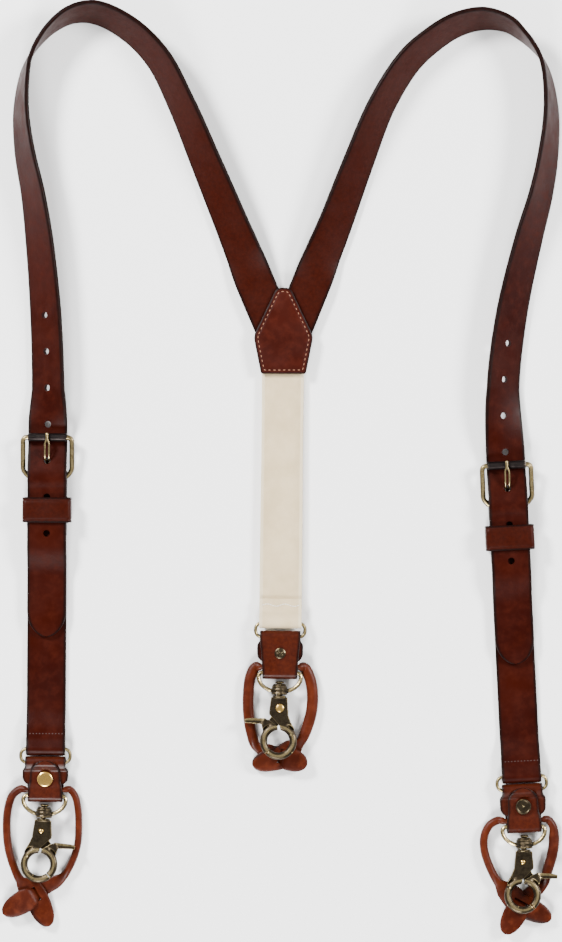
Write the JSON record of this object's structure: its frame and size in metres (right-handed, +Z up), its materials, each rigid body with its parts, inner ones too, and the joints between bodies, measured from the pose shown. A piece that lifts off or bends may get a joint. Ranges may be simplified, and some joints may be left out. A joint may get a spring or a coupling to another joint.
{
  "type": "suspenders",
  "caption": "Y-back leather suspenders with an elastic back band, roller buckles, looped button ends and swivel trigger hooks on brass rings.",
  "frame": {"origin": "middle of the laid-out outline on the surface it lies on", "axes": "+Y from the hooks toward the shoulders, +X toward the right side of the laid-out part, +Z up from the surface"},
  "size_m": [0.3568, 0.5945, 0.0252],
  "materials": {
    "strap_leather": "oiled full-grain, dark reddish brown, satin",
    "tab_leather": "oiled full-grain, reddish brown, satin",
    "loop_leather": "rolled and flat cut, tan brown, satin",
    "elastic_webbing": "woven cream elastic, matte",
    "antique_brass": "antiqued, dark in the hollows, worn bright on the edges",
    "gunmetal": "dark plated",
    "bright_brass": "polished",
    "spring_steel": "plain"
  },
  "bodies": {
    "webbing_and_straps": {"yoke_outer_patch": "tab_leather", "yoke_inner_patch": "tab_leather", "left_shoulder_strap": "strap_leather", "right_shoulder_strap": "strap_leather", "elastic_band": "elastic_webbing", "left_lower_strap": "strap_leather", "right_lower_strap": "strap_leather"},
    "left_frame": {"left_buckle_frame": "antique_brass"},
    "left_roller": {"left_buckle_roller": "gunmetal"},
    "left_prong": {"left_buckle_prong": "antique_brass"},
    "left_keeper": {"left_keeper_loop": "tab_leather"},
    "right_frame": {"right_buckle_frame": "antique_brass"},
    "right_roller": {"right_buckle_roller": "gunmetal"},
    "right_prong": {"right_buckle_prong": "antique_brass"},
    "right_keeper": {"right_keeper_loop": "tab_leather"},
    "left_ring_body": {"left_ring": "antique_brass"},
    "left_tab_body": {"left_tab": "tab_leather", "left_rivet_stud": "antique_brass", "left_rivet_cap": "bright_brass"},
    "left_loop_body": {"left_button_loop": "loop_leather"},
    "left_eye_body": {"left_hook_eye": "antique_brass"},
    "left_hook": {"left_hook_body": "antique_brass", "left_gate_pin": "bright_brass", "left_gate_spring": "spring_steel"},
    "left_gate": {"left_hook_gate": "antique_brass"},
    "right_ring_body": {"right_ring": "antique_brass"},
    "right_tab_body": {"right_tab": "tab_leather", "right_rivet_stud": "antique_brass", "right_rivet_cap": "antique_brass"},
    "right_loop_body": {"right_button_loop": "loop_leather"},
    "right_eye_body": {"right_hook_eye": "antique_brass"},
    "right_hook": {"right_hook_body": "antique_brass", "right_gate_pin": "bright_brass", "right_gate_spring": "spring_steel"},
    "right_gate": {"right_hook_gate": "antique_brass"},
    "back_ring_body": {"back_ring": "antique_brass"},
    "back_tab_body": {"back_tab": "tab_leather", "back_rivet_stud": "antique_brass", "back_rivet_cap": "antique_brass"},
    "back_loop_body": {"back_button_loop": "loop_leather"},
    "back_eye_body": {"back_hook_eye": "antique_brass"},
    "back_hook": {"back_hook_body": "antique_brass", "back_gate_pin": "bright_brass", "back_gate_spring": "spring_steel"},
    "back_gate": {"back_hook_gate": "antique_brass"}
  },
  "joints": [
    {"name": "left_buckle_tilt", "type": "hinge", "parent": "webbing_and_straps", "child": "left_frame", "pos_m": [-0.1487, -0.0038, 0.0043], "axis": [1, -0.007, 0], "range_deg": [0, 2.5]},
    {"name": "left_roller_spin", "type": "hinge", "parent": "left_frame", "child": "left_roller", "pos_m": [-0.14852, 0.0215, 0.0084], "axis": [1, -0.007, 0], "continuous": true},
    {"name": "left_prong_tilt", "type": "hinge", "parent": "left_frame", "child": "left_prong", "pos_m": [-0.1487, -0.0038, 0.0043], "axis": [1, -0.007, 0], "range_deg": [0, 2.5]},
    {"name": "left_keeper_slide", "type": "slide", "parent": "webbing_and_straps", "child": "left_keeper", "axis": [0.007, 1, 0], "range_m": [-0.014, 0.002]},
    {"name": "right_buckle_tilt", "type": "hinge", "parent": "webbing_and_straps", "child": "right_frame", "pos_m": [0.1454, -0.0215, 0.0043], "axis": [0.9988, 0.0497, 0], "range_deg": [0, 2.5]},
    {"name": "right_roller_spin", "type": "hinge", "parent": "right_frame", "child": "right_roller", "pos_m": [0.14414, 0.00377, 0.0084], "axis": [0.9988, 0.0497, 0], "continuous": true},
    {"name": "right_prong_tilt", "type": "hinge", "parent": "right_frame", "child": "right_prong", "pos_m": [0.1454, -0.0215, 0.0043], "axis": [0.9988, 0.0497, 0], "range_deg": [0, 2.5]},
    {"name": "right_keeper_slide", "type": "slide", "parent": "webbing_and_straps", "child": "right_keeper", "axis": [-0.0497, 0.9988, 0], "range_m": [-0.014, 0.002]},
    {"name": "left_ring_swing", "type": "hinge", "parent": "webbing_and_straps", "child": "left_ring_body", "pos_m": [-0.14991, -0.1774, 0.0047], "axis": [1, -0.007, 0], "range_deg": [-75, 75]},
    {"name": "left_tab_swing", "type": "hinge", "parent": "left_ring_body", "child": "left_tab_body", "pos_m": [-0.14997, -0.1862, 0.0047], "axis": [1, -0.007, 0], "range_deg": [-50, 60]},
    {"name": "left_loop_swing", "type": "hinge", "parent": "left_tab_body", "child": "left_loop_body", "pos_m": [-0.15009, -0.2035, 0.00505], "axis": [1, -0.007, 0], "range_deg": [-60, 60]},
    {"name": "left_eye_swing", "type": "hinge", "parent": "left_tab_body", "child": "left_eye_body", "pos_m": [-0.15052, -0.20719, 0.00505], "axis": [0.9996, -0.0295, 0.0024], "range_deg": [-60, 60]},
    {"name": "left_swivel_turn", "type": "hinge", "parent": "left_eye_body", "child": "left_hook", "pos_m": [-0.15084, -0.21783, 0.00617], "axis": [0.0889, 0.9906, -0.1042], "continuous": true, "deforming": ["left_button_loop"]},
    {"name": "left_gate_open", "type": "hinge", "parent": "left_hook", "child": "left_gate", "pos_m": [-0.1524, -0.22967, 0.00741], "axis": [0.0007, 0.1045, 0.9945], "range_deg": [0, 40], "stiffness_Nm_per_rad": 0.02, "springref_deg": -17.19},
    {"name": "right_ring_swing", "type": "hinge", "parent": "webbing_and_straps", "child": "right_ring_body", "pos_m": [0.15403, -0.19489, 0.0047], "axis": [0.9988, 0.0497, 0], "range_deg": [-75, 75]},
    {"name": "right_tab_swing", "type": "hinge", "parent": "right_ring_body", "child": "right_tab_body", "pos_m": [0.15447, -0.20367, 0.0047], "axis": [0.9988, 0.0497, 0], "range_deg": [-50, 60]},
    {"name": "right_loop_swing", "type": "hinge", "parent": "right_tab_body", "child": "right_loop_body", "pos_m": [0.15544, -0.22315, 0.00505], "axis": [0.9988, 0.0497, 0], "range_deg": [-60, 60]},
    {"name": "right_eye_swing", "type": "hinge", "parent": "right_tab_body", "child": "right_eye_body", "pos_m": [0.15532, -0.22686, 0.00505], "axis": [0.9996, 0.0272, 0.0024], "range_deg": [-60, 60]},
    {"name": "right_swivel_turn", "type": "hinge", "parent": "right_eye_body", "child": "right_hook", "pos_m": [0.15561, -0.2375, 0.00617], "axis": [0.036, 0.9939, -0.1041], "continuous": true, "deforming": ["right_button_loop"]},
    {"name": "right_gate_open", "type": "hinge", "parent": "right_hook", "child": "right_gate", "pos_m": [0.15468, -0.24941, 0.00741], "axis": [-0.0052, 0.1044, 0.9945], "range_deg": [0, 40], "stiffness_Nm_per_rad": 0.02, "springref_deg": -17.19},
    {"name": "back_ring_swing", "type": "hinge", "parent": "webbing_and_straps", "child": "back_ring_body", "pos_m": [0.00005, -0.0971, 0.0061], "axis": [-0.9999, 0.0105, 0], "range_deg": [-75, 75]},
    {"name": "back_tab_swing", "type": "hinge", "parent": "back_ring_body", "child": "back_tab_body", "pos_m": [-0.00005, -0.1059, 0.0061], "axis": [-0.9999, 0.0105, 0], "range_deg": [-50, 60]},
    {"name": "back_loop_swing", "type": "hinge", "parent": "back_tab_body", "child": "back_loop_body", "pos_m": [-0.00025, -0.125, 0.00575], "axis": [-0.9999, 0.0105, 0], "range_deg": [-60, 60]},
    {"name": "back_eye_swing", "type": "hinge", "parent": "back_tab_body", "child": "back_eye_body", "pos_m": [-0.00028, -0.1287, 0.00575], "axis": [-0.9998, 0.0209, -0.0011], "range_deg": [-60, 60]},
    {"name": "back_swivel_turn", "type": "hinge", "parent": "back_eye_body", "child": "back_hook", "pos_m": [-0.00051, -0.13934, 0.00687], "axis": [0.0209, 0.9943, -0.1045], "continuous": true, "deforming": ["back_button_loop"]},
    {"name": "back_gate_open", "type": "hinge", "parent": "back_hook", "child": "back_gate", "pos_m": [-0.00026, -0.15128, 0.00812], "axis": [-0.0011, -0.1045, -0.9945], "range_deg": [0, 40], "stiffness_Nm_per_rad": 0.02, "springref_deg": -17.19}
  ]
}
